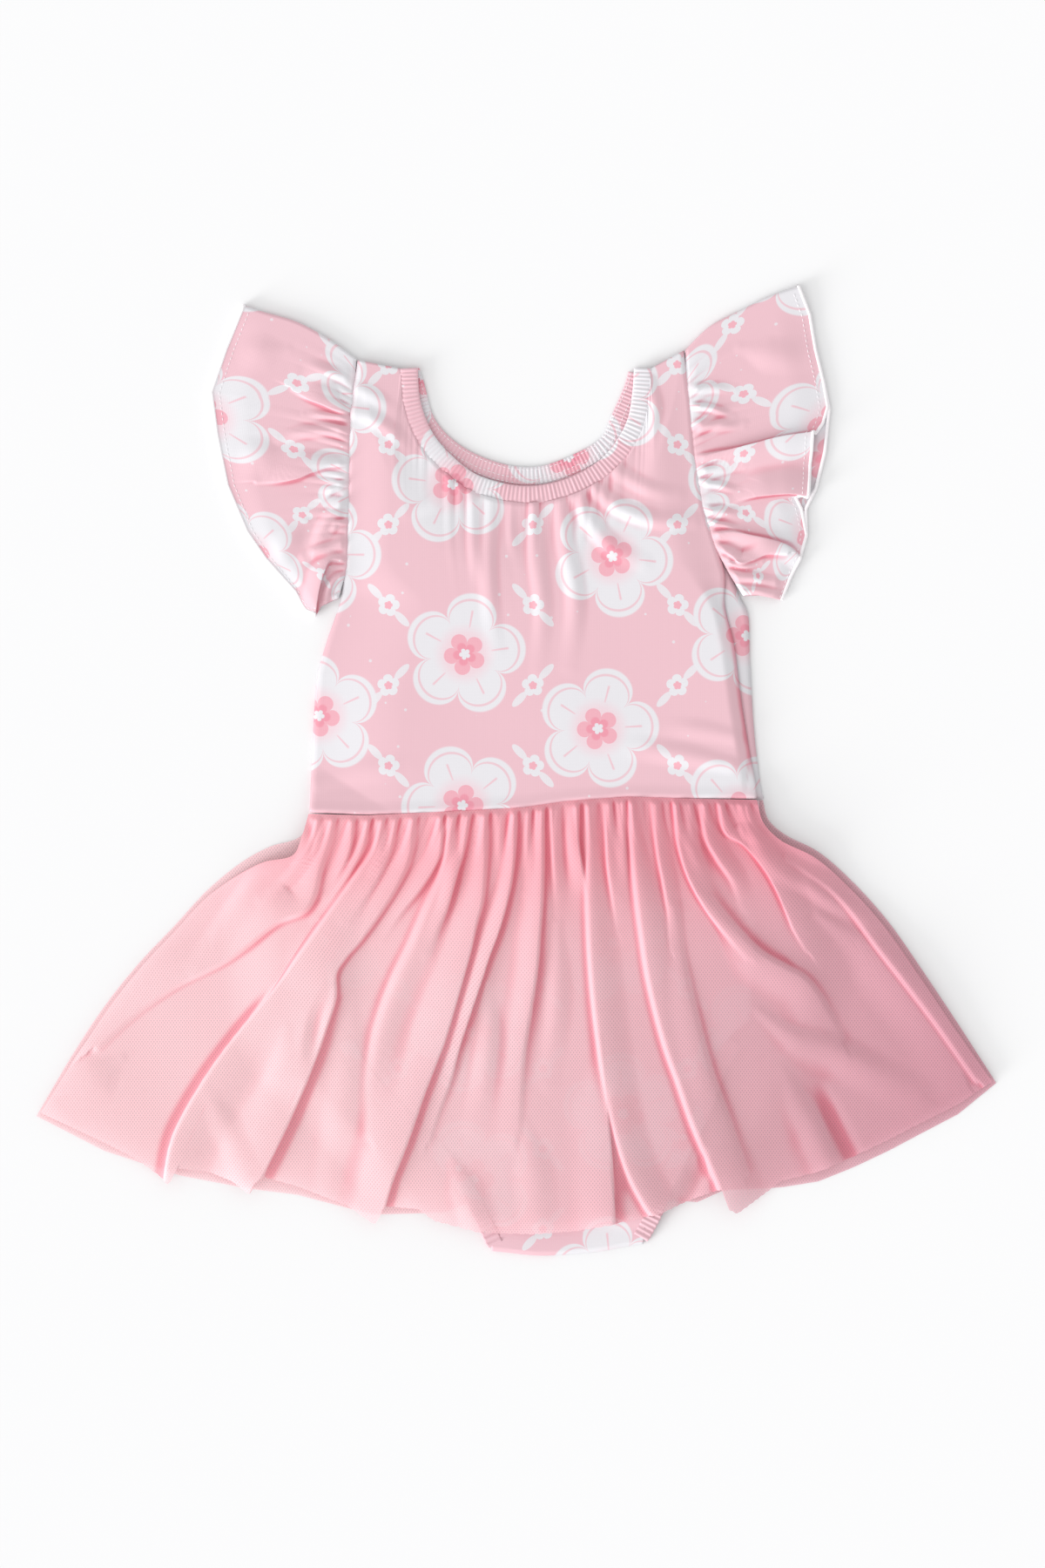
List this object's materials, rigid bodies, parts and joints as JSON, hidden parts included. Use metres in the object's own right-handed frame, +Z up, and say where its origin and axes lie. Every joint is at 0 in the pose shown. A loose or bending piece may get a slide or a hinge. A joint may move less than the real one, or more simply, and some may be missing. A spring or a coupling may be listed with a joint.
{
  "type": "leotard",
  "caption": "Toddler's leotard laid flat, face up: knit bodice with flutter sleeves and a shirred scoop neck, a brief under a gathered sheer mesh skirt.",
  "frame": {"origin": "middle of the waist seam, on the surface that the garment lies on", "axes": "+Y towards the neck, +X to the right as seen from above with the garment face up, +Z up off the surface"},
  "size_m": [0.4791, 0.4841, 0.0096],
  "materials": {
    "printed_knit": "smooth matte-satin stretch knit, pink print on white and pink",
    "sheer_mesh": "sheer stretch net, matte pink"
  },
  "bodies": {
    "root": {"bodice_back": "printed_knit", "bodice_front": "printed_knit", "neck_band_back": "printed_knit", "neck_band_front": "printed_knit", "sleeve_left": "printed_knit", "sleeve_right": "printed_knit", "brief_back": "printed_knit", "brief_front": "printed_knit", "leg_band_left": "printed_knit", "leg_band_right": "printed_knit", "skirt_back": "sheer_mesh", "skirt_front": "sheer_mesh"}
  },
  "joints": []
}
